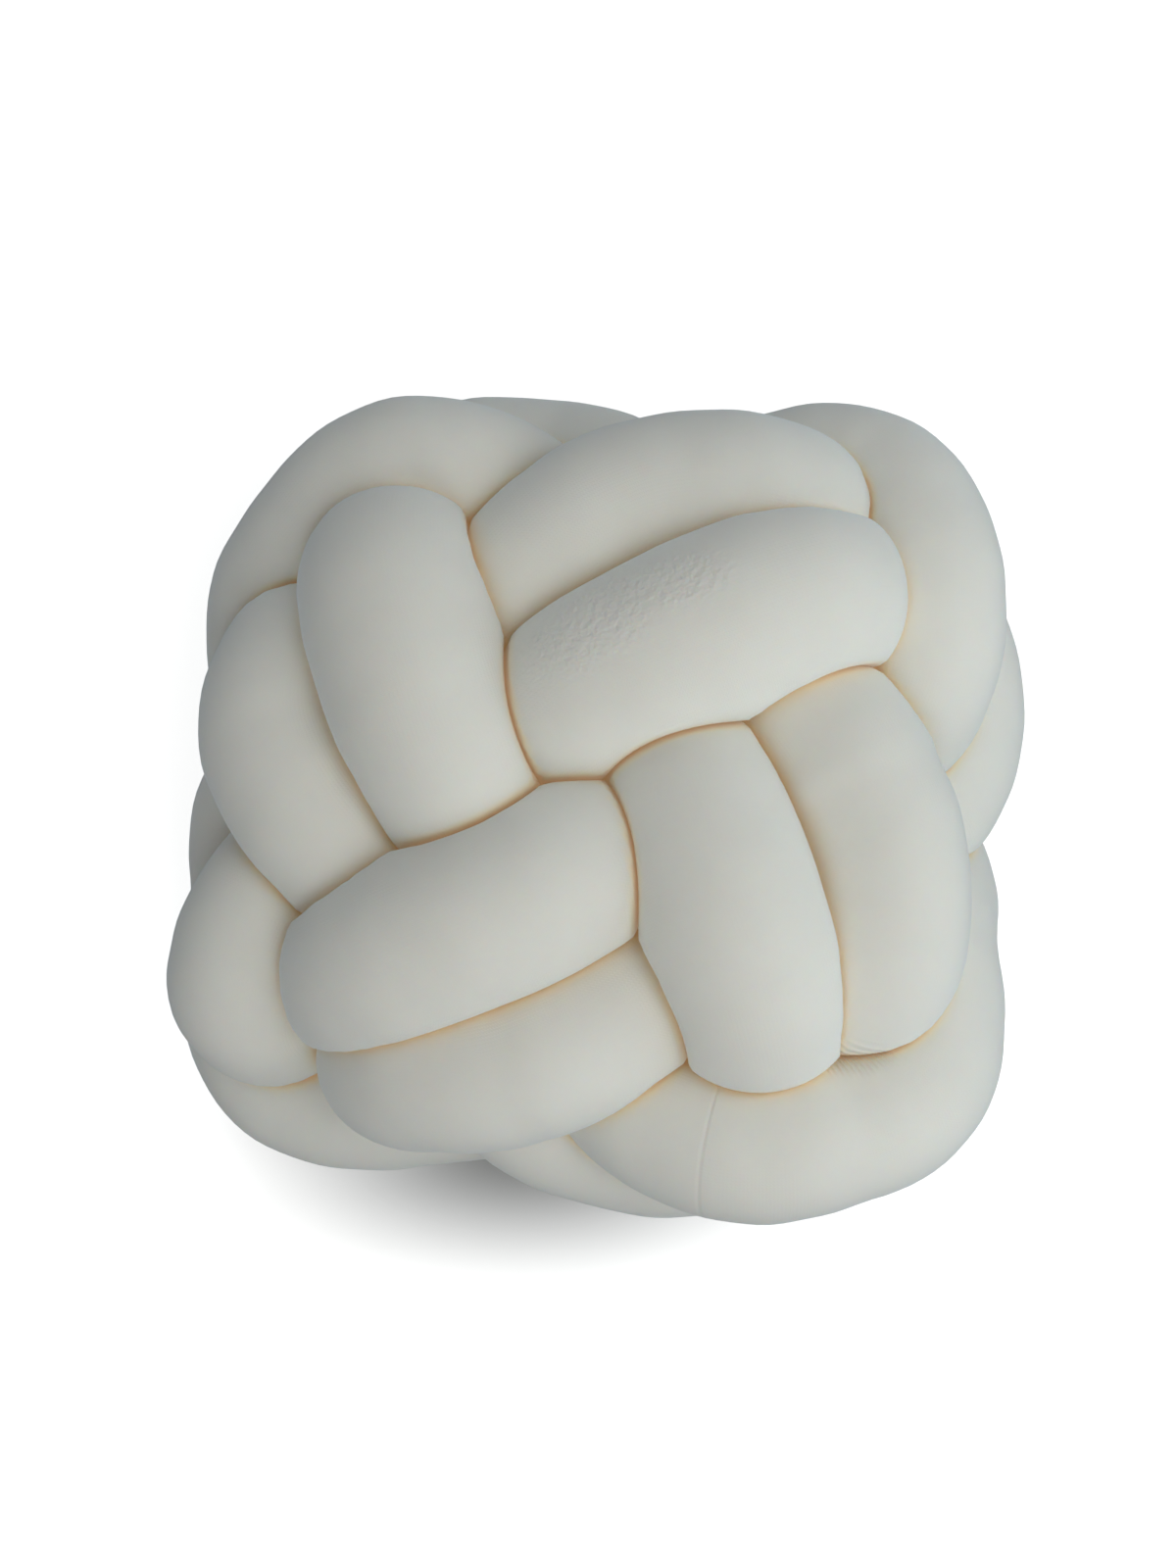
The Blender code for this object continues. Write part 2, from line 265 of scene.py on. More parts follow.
def route():
    """The stations of the whole closed tube in order, how firmly each is held, and the tube's radius
    at each."""
    points = []
    hold = []
    radius = []
    for step, ply in enumerate(PLY_ORDER):
        bar, corner, turn, spread = QUARTERS[step % len(QUARTERS)]
        next_ply = PLY_ORDER[(step + 1) % len(PLY_ORDER)]
        over = stations_of(bar, ply)
        around = stations_of(corner, ply)
        under = (over[-1:] + around[:1]) / 2
        under[0, 2] = UNDER_HEIGHT[ply]
        hidden = back_stations(next_ply, turn, spread)
        points += [over, under, around, hidden[:, :3]]
        hold += [1.0] * len(over) + [0.0] + [1.0] * len(around) + hidden[:, 4].tolist()
        radius += [BAR_RADIUS[ply]] * len(over) + [UNDER_RADIUS]
        radius += [CORNER_RADIUS] * len(around) + hidden[:, 3].tolist()
    return np.concatenate(points), np.array(hold), np.array(radius)


def lengths_along(points):
    """The length from the first point to each point of a closed line, and to the first again."""
    steps = np.linalg.norm(np.roll(points, -1, axis=0) - points, axis=1)
    return np.concatenate([[0.0], np.cumsum(steps)])


def evenly(values, along, count):
    """Values given at the lengths along a closed line, read at evenly spaced lengths."""
    where = np.linspace(0.0, along[-1], count, endpoint=False)
    closed = np.concatenate([values, values[:1]])
    columns = closed.reshape(len(closed), -1).T
    return np.stack([np.interp(where, along, column) for column in columns], axis=1)


def fine_curve(stations):
    """A smooth closed curve through the stations: cubic pieces whose slope at each station is the
    mean of the slopes to both sides, weighed by the other side's span."""
    span = np.sqrt(np.linalg.norm(np.roll(stations, -1, axis=0) - stations, axis=1))
    slope = (np.roll(stations, -1, axis=0) - stations) / span[:, None]
    before = np.roll(span, 1)[:, None]
    after = span[:, None]
    tangent = (np.roll(slope, 1, axis=0) * after + slope * before) / (before + after)
    t = np.linspace(0.0, 1.0, CURVE_STEPS, endpoint=False)[None, :, None]
    start, end = stations[:, None], np.roll(stations, -1, axis=0)[:, None]
    leave = (tangent * after)[:, None]
    arrive = (np.roll(tangent, -1, axis=0) * after)[:, None]
    curve = (
        (2 * t**3 - 3 * t**2 + 1) * start
        + (t**3 - 2 * t**2 + t) * leave
        + (3 * t**2 - 2 * t**3) * end
        + (t**3 - t**2) * arrive
    )
    return curve.reshape(-1, 3)


def between(values):
    """Values given at the stations, read at the points of the fine curve."""
    t = np.linspace(0.0, 1.0, CURVE_STEPS, endpoint=False)[None]
    return ((1 - t) * values[:, None] + t * np.roll(values, -1)[:, None]).reshape(-1)


def headings(curve):
    """The unit vector along a closed curve at each of its points."""
    heading = np.roll(curve, -1, axis=0) - np.roll(curve, 1, axis=0)
    return heading / np.linalg.norm(heading, axis=1)[:, None]


def ring_places(curve, heading):
    """The length along the outer flank at each point of the middle line, so that rings spaced evenly
    by it lie closer in the bends."""
    length = np.linalg.norm(np.roll(curve, -1, axis=0) - curve, axis=1)
    turn = np.linalg.norm(np.roll(heading, -1, axis=0) - heading, axis=1)
    return np.concatenate([[0.0], np.cumsum(length + CORNER_RADIUS * turn)])


def half_way_back(points):
    """From each point to the middle of its two neighbours."""
    return (np.roll(points, 1, axis=0) + np.roll(points, -1, axis=0)) / 2 - points


def push_apart(points):
    """Moves each point away from those of other passes that are nearer than PASS_SPACING."""
    count = len(points)
    step = lengths_along(points)[-1] / count
    index = np.arange(count)
    apart = np.abs(index[:, None] - index[None])
    apart = np.minimum(apart, count - apart) * step
    offset = points[:, None] - points[None]
    distance = np.linalg.norm(offset, axis=2)
    near = (distance < PASS_SPACING) & (apart > OWN_STRETCH)
    lack = np.where(near, PASS_SPACING - distance, 0.0)
    push = offset / np.maximum(distance, TINY)[..., None] * lack[..., None]
    return points + PUSH * push.sum(axis=1) / np.maximum(near.sum(axis=1), 1)[:, None]


def keep_inside(points, hold):
    """Draws the points into the height, and half of the way in to the square outline with round
    corners. The more a point is held, the less the outline draws it."""
    points = points.copy()
    points[:, 2] = np.clip(points[:, 2], LOWEST_LINE, HIGHEST_LINE)
    reach = (
        np.abs(points[:, 0] / HALF_WIDTH) ** OUTLINE_POWER
        + np.abs(points[:, 1] / HALF_DEPTH) ** OUTLINE_POWER
    )
    shrink = np.maximum(reach, 1.0) ** (-1.0 / OUTLINE_POWER)
    points[:, :2] *= (1 + (1 - hold) * (shrink - 1) / 2)[:, None]
    return points


def settle(points, hold, radius):
    """Lets the passes find room beside each other. In each step the line is pulled taut a little,
    kept from kinking, drawn to the measured stretches, pushed off its neighbours and kept inside
    the outline. The radius only rides along."""
    wanted = points.copy()
    for step in range(SETTLE_STEPS):
        taut = TENSION * (1 - (1 - HELD_TENSION) * hold)
        points = points + taut[:, None] * half_way_back(points)
        for _ in range(STIFF_ROUNDS):
            points = points - STIFFNESS * half_way_back(half_way_back(points))
        points = points + HOLD * hold[:, None] * (wanted - points)
        for _ in range(PUSH_ROUNDS):
            points = push_apart(points)
        points = keep_inside(points, hold)
        if (step + 1) % EVEN_OUT_EVERY == 0:
            along = lengths_along(points)
            count = len(points)
            hold = evenly(hold, along, count)[:, 0]
            radius = evenly(radius, along, count)[:, 0]
            wanted = evenly(wanted, along, count)
            points = evenly(points, along, count)
    for _ in range(LAST_SMOOTHING):
        points = points - STIFFNESS * half_way_back(half_way_back(points))
    return points - (*MIDDLE, 0.0), radius


def ring_frames(tangent):
    """Two unit vectors across a closed line at each point, carried along it without twist. The turn
    that is left when it closes is spread over the whole length."""
    side = np.zeros_like(tangent)
    last = np.cross(tangent[0], (0.0, 0.0, 1.0))
    for k, along in enumerate(tangent):
        last = last - along * (last @ along)
        last = last / np.linalg.norm(last)
        side[k] = last
    up = np.cross(tangent, side)
    last = last - tangent[0] * (last @ tangent[0])
    left = -np.arctan2(last @ up[0], last @ side[0])
    return side, up, left * np.arange(len(side)) / len(side)


def room(line, whole, directions, gap):
    """How far the tube may reach from each ring's middle in each direction. The plane half way to
    any other point of the whole middle line is the limit, so two passes share the space between
    them, and a bend doesn't fold into itself."""
    reach = np.full(directions.shape[:2], np.inf)
    for point in whole:
        offset = point - line
        far = (offset**2).sum(axis=1)
        near = np.flatnonzero((far > NEXT_POINT**2) & (far < FAR_POINT**2))
        forward = np.einsum("ijk,ik->ij", directions[near], offset[near])
        limit = np.where(forward > TINY, far[near, None] / np.maximum(2 * forward, TINY), np.inf)
        reach[near] = np.minimum(reach[near], limit)
    return np.maximum(reach - gap / 2, LEAST_RADIUS)


def stuffing(count, sides):
    """How far the filling stands out or falls in, ring by ring and side by side: the sum of a few
    slanting waves, each with a whole number of turns along the tube and round it, so they close."""
    along = np.linspace(0, 2 * np.pi, count, endpoint=False)[:, None]
    around = np.linspace(0, 2 * np.pi, sides, endpoint=False)[None]
    swell = np.zeros((count, sides))
    for turns, rounds, start, height in STUFFING_WAVES:
        swell += height * np.sin(turns * along + rounds * around + start)
    return swell


def rings(line, tangent, free_radius, whole, sides, gap):
    """The points of all rings, and how close each lies to a crease. A ring is round where it is free
    and flat where the room ends; it swells a little to keep its area, and its base is flat on the
    floor. The closeness is 1 where the tube is pressed and fades as the room opens."""
    side, up, twist = ring_frames(tangent)
    angle = np.linspace(0, 2 * np.pi, sides, endpoint=False)[None] + twist[:, None]
    directions = np.cos(angle)[..., None] * side[:, None] + np.sin(angle)[..., None] * up[:, None]
    limit = room(line, whole, directions, gap)
    floor = line[:, 2, None] / np.maximum(-directions[..., 2], TINY)
    power = -CORNER_SHARPNESS
    radius = free_radius
    for _ in range(AREA_STEPS):
        reach = np.minimum((radius[:, None] ** power + limit**power) ** (1 / power), floor)
        area = (reach * np.roll(reach, -1, axis=1)).sum(axis=1) * np.sin(2 * np.pi / sides) / 2
        radius = radius * np.sqrt(np.pi * free_radius**2 / area)
        radius = np.clip(radius, free_radius, free_radius * MOST_SWELL)
    closeness = np.exp(-np.maximum(limit - reach, 0.0) / CREASE_FADE)
    reach = reach + (1 - closeness) * stuffing(*reach.shape)
    points = line[:, None] + reach[..., None] * directions
    points[..., 2] = np.maximum(points[..., 2], 0.0)
    return points, closeness


class TubeSettings(PropertyGroup):
    """The filled tube."""

    rings: IntProperty(name="Rings", description="Rings along the whole tube", default=1390, min=200)
    sides: IntProperty(name="Sides", description="Points round one ring", default=64, min=12)
    gap: FloatProperty(
        name="Gap",
        description="Air between two passes that touch",
        default=0.0001,
        unit="LENGTH",
    )
    fill: FloatProperty(
        name="Fill", description="How tightly it is stuffed", default=0.9, min=0.0, max=1.0
    )
    wale: FloatProperty(
        name="Wale", description="Width of one column of stitches", default=0.00125, unit="LENGTH"
    )
    course: FloatProperty(
        name="Course", description="Height of one row of stitches", default=0.0009, unit="LENGTH"
    )


class ClothColours(PropertyGroup):
    """The knit's own ivory, with painted warm bounce light, warm shade and glow for its creases."""

    ivory: FloatVectorProperty(
        name="Ivory", description="The knit in the open", default=(0.88, 0.87, 0.81),
        subtype="COLOR", size=3, min=0.0, max=1.0,
    )
    # Painted warm shade: the colour deep in a crease stands in for the shade and warm bounce light
    # there
    crease: FloatVectorProperty(
        name="Crease", description="The knit deep in a crease", default=(0.90, 0.68, 0.46),
        subtype="COLOR", size=3, min=0.0, max=1.0,
    )
    # Painted warm bounce light beside a crease, not a colour of the cloth
    painted_bounce: FloatVectorProperty(
        name="Cream", description="The knit beside a crease", default=(0.96, 0.88, 0.70),
        subtype="COLOR", size=3, min=0.0, max=1.0,
    )
    # Painted glow deep in a crease: an emission that stands in for light bounced into it
    painted_crease_glow: FloatVectorProperty(
        name="Ember", description="Light that the filling passes on into a crease",
        default=(0.072, 0.058, 0.035), subtype="COLOR", size=3, min=0.0, max=1.0,
    )
    glow: FloatProperty(
        name="Glow", description="Share of light that spreads inside the cloth", default=0.3,
        min=0.0, max=1.0,
    )
    sheen: FloatProperty(
        name="Sheen", description="Strength of the soft nap's edge light", default=0.5, min=0.0, max=1.0
    )


class StageSettings(PropertyGroup):
    """Floor, lights and camera."""

    floor: FloatVectorProperty(
        name="Floor", description="The pale floor", default=(0.92, 0.92, 0.92),
        subtype="COLOR", size=3, min=0.0, max=1.0,
    )
    floor_glow: FloatProperty(
        name="Floor glow", description="Light that the floor gives off", default=0.72
    )
    sky: FloatVectorProperty(
        name="Sky", description="The light from all round", default=(1.0, 0.98, 0.94),
        subtype="COLOR", size=3, min=0.0, max=1.0,
    )
    sky_strength: FloatProperty(name="Sky strength", description="Its strength", default=0.155)
    power: FloatProperty(
        name="Power", description="All the soft lights together", default=31.5, unit="POWER"
    )
    lens: FloatProperty(name="Lens", description="Focal length in millimetres", default=80.0)
    distance: FloatProperty(
        name="Distance", description="From the cushion's middle to the camera", default=1.317,
        unit="LENGTH",
    )


def settings():
    """The three groups of settings of the scene."""
    scene = bpy.context.scene
    return scene.cushion_tube, scene.cushion_cloth, scene.cushion_stage


def knot_shape(tube):
    """The finished tube: the middle line through the stations, settled, then a ring of points round
    it at each of the evenly spaced places along its outer flank. Gives the points, the closeness to
    a crease, and the length along the tube at each ring, in millimetres."""
    stations, hold, radius = route()
    curve = fine_curve(stations)
    along = lengths_along(curve)
    line = evenly(curve, along, SETTLE_POINTS)
    hold = evenly(between(hold), along, SETTLE_POINTS)[:, 0]
    radius = evenly(between(radius), along, SETTLE_POINTS)[:, 0]
    line, radius = settle(line, hold, radius)
    curve = fine_curve(line)
    along = lengths_along(curve)
    whole = evenly(curve, along, LIMIT_POINTS)
    heading = headings(curve)
    places = ring_places(curve, heading)
    line = evenly(curve, places, tube.rings)
    tangent = evenly(heading, places, tube.rings)
    tangent /= np.linalg.norm(tangent, axis=1)[:, None]
    radius = evenly(between(radius), places, tube.rings)[:, 0]
    points, closeness = rings(line, tangent, radius, whole, tube.sides, tube.gap / MM)
    return points, closeness, lengths_along(line)


def tube_mesh(points, closeness, length, courses, tube):
    """A closed mesh of quads between neighbouring rings, the last joined to the first. Its UV map
    counts courses along the tube and wales round it, and both come out whole where it closes."""
    count, sides = points.shape[:2]
    ring = np.arange(count)[:, None]
    side = np.arange(sides)[None]
    corners = [(ring, side), (ring, side + 1), (ring + 1, side + 1), (ring + 1, side)]
    quads = np.stack([(r % count) * sides + s % sides for r, s in corners], axis=2)
    mesh = bpy.data.meshes.new("knot_tube")
    mesh.from_pydata((points.reshape(-1, 3) * MM).tolist(), [], quads.reshape(-1, 4).tolist())
    wales = round(2 * math.pi * CORNER_RADIUS * MM / tube.wale)
    u = length * (courses / length[-1])
    v = np.arange(sides + 1) * (wales / sides)
    uv = np.stack(
        [np.stack(np.broadcast_arrays(u[r], v[s]), axis=2) for r, s in corners], axis=2
    )
    layer = mesh.uv_layers.new(name="knit")
    layer.data.foreach_set("uv", uv.reshape(-1))
    mark = mesh.attributes.new("crease", "FLOAT", "POINT")
    mark.data.foreach_set("value", closeness.reshape(-1))
    mesh.shade_smooth()
    return mesh


def node(tree, kind, values=(), **options):
    """A new node with its options and its inputs' values set."""
    made = tree.nodes.new(kind)
    for name, value in options.items():
        setattr(made, name, value)
    for name, value in values:
        made.inputs[name].default_value = value
    return made


def math_node(tree, operation, *inputs):
    """A maths node whose inputs are numbers or other nodes' outputs."""
    made = node(tree, "ShaderNodeMath", operation=operation)
    for place, value in enumerate(inputs):
        if isinstance(value, (int, float)):
            made.inputs[place].default_value = value
        else:
            tree.links.new(value, made.inputs[place])
    return made.outputs[0]


def eased(tree, value, start, full, top=1.0):
    """A number that grows softly from 0 to top as the value goes from start to full."""
    ends = [("From Min", start), ("From Max", full), ("To Max", top)]
    made = node(tree, "ShaderNodeMapRange", ends, interpolation_type="SMOOTHSTEP")
    tree.links.new(value, made.inputs["Value"])
    return made.outputs["Result"]


def tinted(tree, base, colour, near, start, full):
    """A mix from base to colour that grows softly as near goes from start to full."""
    mix = node(tree, "ShaderNodeMix", data_type="RGBA")
    if isinstance(base, tuple):
        mix.inputs[MIX_FROM].default_value = base
    else:
        tree.links.new(base, mix.inputs[MIX_FROM])
    mix.inputs[MIX_TO].default_value = (*colour, 1.0)
    tree.links.new(eased(tree, near, start, full), mix.inputs["Factor"])
    return mix.outputs[MIX_OUT]


def noise(tree, place, scale, detail, roughness=0.5):
    """Soft noise in space, from 0 to 1."""
    looks = [("Scale", scale), ("Detail", detail), ("Roughness", roughness)]
    made = node(tree, "ShaderNodeTexNoise", looks)
    tree.links.new(place, made.inputs["Vector"])
    return made.outputs["Fac"]


def from_middle(tree, place, middle, turn, reach):
    """The distance from the middle of an oval, as a share of the way to its edge."""
    placing = [("Location", middle), ("Rotation", (0.0, 0.0, math.radians(turn))), ("Scale", reach)]
    local = node(tree, "ShaderNodeMapping", placing, vector_type="TEXTURE")
    far = node(tree, "ShaderNodeVectorMath", operation="LENGTH")
    tree.links.new(place, local.inputs["Vector"])
    tree.links.new(local.outputs["Vector"], far.inputs[0])
    return far.outputs["Value"]


def spots(tree, place, table):
    """How far inside one of the oval spots of the table a point of the cloth lies, from 0 at its edge
    to 1 in its core."""
    total = 0.0
    for middle, turn, reach in table:
        inside = eased(tree, from_middle(tree, place, middle, turn, reach), 1.0, SPOT_CORE)
        total = math_node(tree, "MAXIMUM", inside, total)
    return total


def bump(tree, height, distance, strength):
    """A Bump node that turns the normal by the slope of the height."""
    made = node(tree, "ShaderNodeBump", [("Strength", strength), ("Distance", distance)])
    tree.links.new(height, made.inputs["Height"])
    return made


def stitches(tree, course, wale):
    """The height of the stitches, from 0 to 1: V shapes, one a wale wide and a course high. It is a
    wave along the course that runs ahead towards the middle of the wale, times a rib that is highest
    in that middle."""
    across = math_node(tree, "PINGPONG", wale, 0.5)
    slant = math_node(tree, "MULTIPLY_ADD", across, STITCH_SLANT, course)
    wave = math_node(tree, "SINE", math_node(tree, "MULTIPLY", slant, math.pi))
    rib = math_node(tree, "SINE", math_node(tree, "MULTIPLY", across, math.pi))
    return math_node(tree, "MULTIPLY", math_node(tree, "ABSOLUTE", wave), rib)


def dents(tree, place, course, courses, tube):
    """The height of the broad relief, as a share of a pill's: pills and small folds, each in their
    spots, and the join, a groove across the tube."""
    pills = noise(tree, place, PILL_SCALE, PILL_DETAIL)
    pills = math_node(tree, "MULTIPLY", pills, spots(tree, place, PILLED_SPOTS))
    turn = math_node(tree, "MULTIPLY", course, 2 * math.pi * tube.course / GATHER_STEP)
    folds = math_node(tree, "SINE", turn)
    folds = math_node(tree, "MULTIPLY", folds, spots(tree, place, GATHERED_SPOTS))
    off_join = math_node(tree, "SUBTRACT", course, courses * JOIN_PLACE)
    join = eased(tree, math_node(tree, "ABSOLUTE", off_join), JOIN_WIDTH, 0.0)
    raised = math_node(tree, "MULTIPLY_ADD", folds, FOLD_SHARE, pills)
    return math_node(tree, "MULTIPLY_ADD", join, -JOIN_SHARE, raised)


def clouded(tree, tint, place):
    """The tint with broad faint clouds in its brightness."""
    darkest, lightest = CLOUD_SHADES
    clouds = noise(tree, place, CLOUD_SCALE, CLOUD_DETAIL, CLOUD_ROUGHNESS)
    shade = node(tree, "ShaderNodeMapRange", [("To Min", darkest), ("To Max", lightest)])
    colour = node(tree, "ShaderNodeVectorMath", operation="SCALE")
    tree.links.new(clouds, shade.inputs["Value"])
    tree.links.new(tint, colour.inputs[0])
    tree.links.new(shade.outputs["Result"], colour.inputs["Scale"])
    return colour.outputs["Vector"]


def ivory_knit(colours, tube, courses):
    """Ivory knit with a short soft nap. The stitches and the nap are a fine bump on top of the broad
    relief. Near a crease the colour turns from ivory through painted warm bounce light to painted
    warm shade, with a faint painted glow deep in it."""
    material = bpy.data.materials.new("ivory knit")
    material.use_nodes = True
    tree = material.node_tree
    link = tree.links.new
    shader = tree.nodes["Principled BSDF"]
    uv = node(tree, "ShaderNodeUVMap", uv_map="knit")
    split = node(tree, "ShaderNodeSeparateXYZ")
    link(uv.outputs["UV"], split.inputs["Vector"])
    course, wale = split.outputs["X"], split.outputs["Y"]
    place = node(tree, "ShaderNodeTexCoord").outputs["Object"]
    near = node(tree, "ShaderNodeAttribute", attribute_name="crease").outputs["Fac"]

    broad = bump(tree, dents(tree, place, course, courses, tube), PILL_HEIGHT, 1.0)
    nap = noise(tree, place, NAP_SCALE, NAP_DETAIL)
    relief = math_node(tree, "MULTIPLY_ADD", nap, NAP_SHARE, stitches(tree, course, wale))
    fine = bump(tree, relief, STITCH_HEIGHT, STITCH_STRENGTH)
    link(broad.outputs["Normal"], fine.inputs["Normal"])
    link(fine.outputs["Normal"], shader.inputs["Normal"])

    # Painted warm bounce light beside a crease, and painted warm shade deep in it
    tint = tinted(tree, (*colours.ivory, 1.0), colours.painted_bounce, near, *PAINTED_BOUNCE_RANGE)
    tint = tinted(tree, tint, colours.crease, near, *PAINTED_CREASE_SHADE_RANGE)
    # Painted glow deep in a crease: emission that stands in for light bounced into it
    painted_crease_glow = tinted(tree, (0.0, 0.0, 0.0, 1.0), colours.painted_crease_glow, near, *PAINTED_GLOW_RANGE)
    link(clouded(tree, tint, place), shader.inputs["Base Color"])
    link(painted_crease_glow, shader.inputs["Emission Color"])
    shader.inputs["Emission Strength"].default_value = 1.0
    shader.inputs["Roughness"].default_value = 0.92
    shader.inputs["Specular IOR Level"].default_value = 0.15
    shader.inputs["Sheen Weight"].default_value = colours.sheen
    shader.inputs["Sheen Roughness"].default_value = 0.45
    shader.inputs["Sheen Tint"].default_value = (0.78, 0.90, 1.0, 1.0)
    shader.inputs["Subsurface Weight"].default_value = colours.glow
    shader.inputs["Subsurface Radius"].default_value = (1.0, 0.55, 0.3)
    shader.inputs["Subsurface Scale"].default_value = 0.006
    return material


class CUSHION_OT_tube(Operator):
    """Makes the knotted tube of filled knit in place of its plain solid."""

    bl_idname = "cushion.tube"
    bl_label = "Knotted tube"

    def execute(self, context):
        tube, colours, _ = settings()
        points, closeness, length = knot_shape(tube)
        courses = round(length[-1] * MM / tube.course)
        mesh = tube_mesh(points, closeness, length, courses, tube)
        mesh.materials.append(ivory_knit(colours, tube, courses))
        piece = bpy.data.objects.new("knotted_tube", mesh)
        context.scene.collection.objects.link(piece)
        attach(piece, "root")
        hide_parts("knot_tube")
        return {"FINISHED"}


def pale_floor(stage):
    """A plain matte floor that gives off light as a light table does, with a painted shadow close under
    the cushion's near edge, where its colour and glow are turned down."""
    material = bpy.data.materials.new("pale floor")
    material.use_nodes = True
    tree = material.node_tree
    link = tree.links.new
    shader = tree.nodes["Principled BSDF"]
    place = node(tree, "ShaderNodeTexCoord").outputs["Object"]
    # The painted shadow: colour and glow fall off towards the middle of the oval
    far = from_middle(tree, place, (*PAINTED_SHADOW_PLACE, 0.0), 0.0, (*PAINTED_SHADOW_REACH, 1.0))
    shaded = tuple(part * PAINTED_SHADOW_SHARE for part in stage.floor)
    colour = tinted(tree, (*shaded, 1.0), stage.floor, far, 0.0, 1.0)
    link(colour, shader.inputs["Base Color"])
    link(eased(tree, far, 0.0, 1.0, stage.floor_glow), shader.inputs["Emission Strength"])
    shader.inputs["Emission Color"].default_value = (1.0, 1.0, 1.0, 1.0)
    shader.inputs["Roughness"].default_value = 0.9
    return material


def sweep_mesh():
    """The floor of a round photo studio: flat, then bent up into a wall. It is a profile of distances
    and heights turned about the upright axis, with one point in the middle."""
    bend = np.linspace(0, np.pi / 2, BEND_RINGS)
    bent = SWEEP_RADIUS - SWEEP_BEND + SWEEP_BEND * np.sin(bend)
    bent_up = SWEEP_BEND * (1 - np.cos(bend))
    far = np.concatenate([FLAT_RINGS, bent, [SWEEP_RADIUS]])
    height = np.concatenate([[0.0] * len(FLAT_RINGS), bent_up, [SWEEP_HEIGHT]])
    turn = np.linspace(0, 2 * np.pi, SWEEP_SIDES, endpoint=False)
    ring = np.stack(np.broadcast_arrays(
        far[:, None] * np.cos(turn), far[:, None] * np.sin(turn), height[:, None]
    ), axis=2).reshape(-1, 3)
    row = np.arange(len(far) - 1)[:, None] * SWEEP_SIDES
    side = np.arange(SWEEP_SIDES)[None]
    after = (side + 1) % SWEEP_SIDES
    quads = np.stack(
        [row + side, row + SWEEP_SIDES + side, row + SWEEP_SIDES + after, row + after], axis=2
    ).reshape(-1, 4)
    middle = len(ring)
    fan = np.stack([np.full(SWEEP_SIDES, middle), side[0], after[0]], axis=1)
    mesh = bpy.data.meshes.new("floor")
    mesh.from_pydata([*ring.tolist(), (0.0, 0.0, 0.0)], [], [*quads.tolist(), *fan.tolist()])
    mesh.shade_smooth()
    return mesh


def looking_along(back, place):
    """The matrix of a camera or light at place that looks against the unit vector back, with its
    right side square to the world's Y."""
    right = np.cross((0.0, 1.0, 0.0), back)
    right /= np.linalg.norm(right)
    up = np.cross(back, right)
    matrix = np.eye(4)
    matrix[:3, :3] = np.stack([right, up, back], axis=1)
    matrix[:3, 3] = place
    return Matrix(matrix.tolist())


def soft_light(name, power, colour, place):
    """A square area light at place, turned to the cushion."""
    light = bpy.data.lights.new(name, "AREA")
    light.energy = power
    light.size = LIGHT_SIZE
    light.color = colour
    lamp = bpy.data.objects.new(name, light)
    back = np.array(place) - np.array(LIGHT_TARGET)
    lamp.matrix_world = looking_along(back / np.linalg.norm(back), place)
    bpy.context.scene.collection.objects.link(lamp)


class CUSHION_OT_stage(Operator):
    """Makes the pale floor, the soft lights and the camera."""

    bl_idname = "cushion.stage"
    bl_label = "Floor, lights and camera"

    def execute(self, context):
        _, _, stage = settings()
        scene = context.scene
        floor = bpy.data.objects.new("floor", sweep_mesh())
        floor.data.materials.append(pale_floor(stage))
        scene.collection.objects.link(floor)
        floor.visible_shadow = False
        floor.visible_diffuse = False
        world = bpy.data.worlds.new("sky")
        world.use_nodes = True
        sky = world.node_tree.nodes["Background"]
        sky.inputs["Color"].default_value = (*stage.sky, 1.0)
        sky.inputs["Strength"].default_value = stage.sky_strength
        scene.world = world
        for name, share, colour, place in LIGHTS:
            soft_light(name, stage.power * share, colour, place)
        scene.view_settings.view_transform = "Standard"
        lens = bpy.data.cameras.new("camera")
        lens.lens = stage.lens
        lens.sensor_width = SENSOR
        lens.clip_start = NEAREST
        camera = bpy.data.objects.new("camera", lens)
        camera.matrix_world = portrait_view(stage)
        scene.collection.objects.link(camera)
        scene.camera = camera
        return {"FINISHED"}


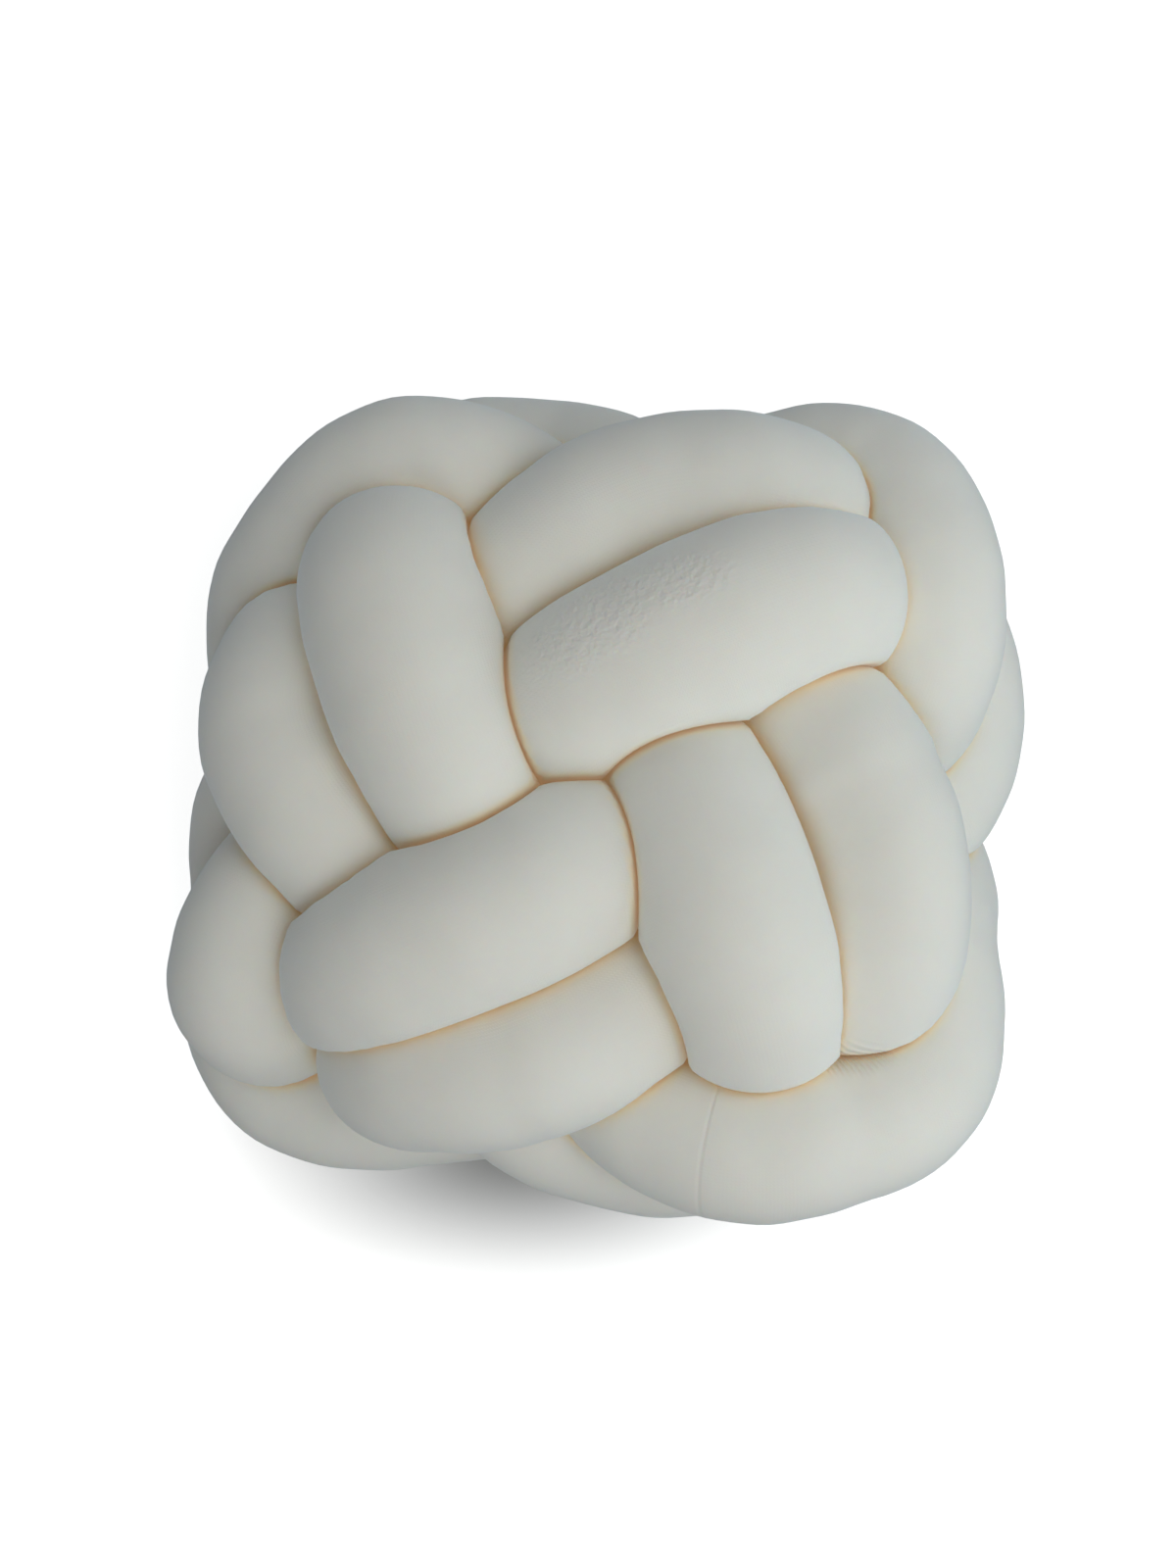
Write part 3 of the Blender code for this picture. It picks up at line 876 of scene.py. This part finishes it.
def portrait_view(stage):
    """The camera's matrix: it looks down at the middle, then moves sideways in its own plane so that
    the middle falls on its pixel."""
    east = math.sin(math.radians(VIEW_TURN))
    south = -math.cos(math.radians(VIEW_RISE))
    back = np.array([east, south, math.sqrt(1 - east**2 - south**2)])
    level = np.array(looking_along(back, (0, 0, 0)))
    pixel = stage.distance * SENSOR / stage.lens / PICTURE[1]
    right = (PICTURE[0] / 2 - MIDDLE_PIXEL[0]) * pixel
    up = (MIDDLE_PIXEL[1] - PICTURE[1] / 2) * pixel
    middle = np.array([-MIDDLE[0] * MM, -MIDDLE[1] * MM, MIDDLE_HEIGHT])
    place = middle + level[:3, :3] @ (right, up, stage.distance)
    return looking_along(back, place)


class CUSHION_PT_panel(Panel):
    """Lists the cushion's settings and operators."""

    bl_label = "Knot Cushion"
    bl_idname = "CUSHION_PT_panel"
    bl_space_type = "VIEW_3D"
    bl_region_type = "UI"
    bl_category = "Cushion"

    def draw(self, context):
        for group in settings():
            box = self.layout.box()
            for name in group.bl_rna.properties.keys():
                if name not in ("rna_type", "name"):
                    box.prop(group, name)
        self.layout.operator("cushion.tube")
        self.layout.operator("cushion.stage")


CLASSES = (
    TubeSettings,
    ClothColours,
    StageSettings,
    CUSHION_OT_tube,
    CUSHION_OT_stage,
    CUSHION_PT_panel,
)


def register():
    """Registers the classes and hangs the settings on the scene."""
    for one in CLASSES:
        bpy.utils.register_class(one)
    bpy.types.Scene.cushion_tube = PointerProperty(type=TubeSettings)
    bpy.types.Scene.cushion_cloth = PointerProperty(type=ClothColours)
    bpy.types.Scene.cushion_stage = PointerProperty(type=StageSettings)


def unregister():
    """Takes the settings off the scene and unregisters the classes."""
    del bpy.types.Scene.cushion_stage
    del bpy.types.Scene.cushion_cloth
    del bpy.types.Scene.cushion_tube
    for one in reversed(CLASSES):
        bpy.utils.unregister_class(one)


def main():
    """Makes the cushion and its stage."""
    register()
    bpy.ops.cushion.tube()
    bpy.ops.cushion.stage()


if __name__ == "__main__":
    main()
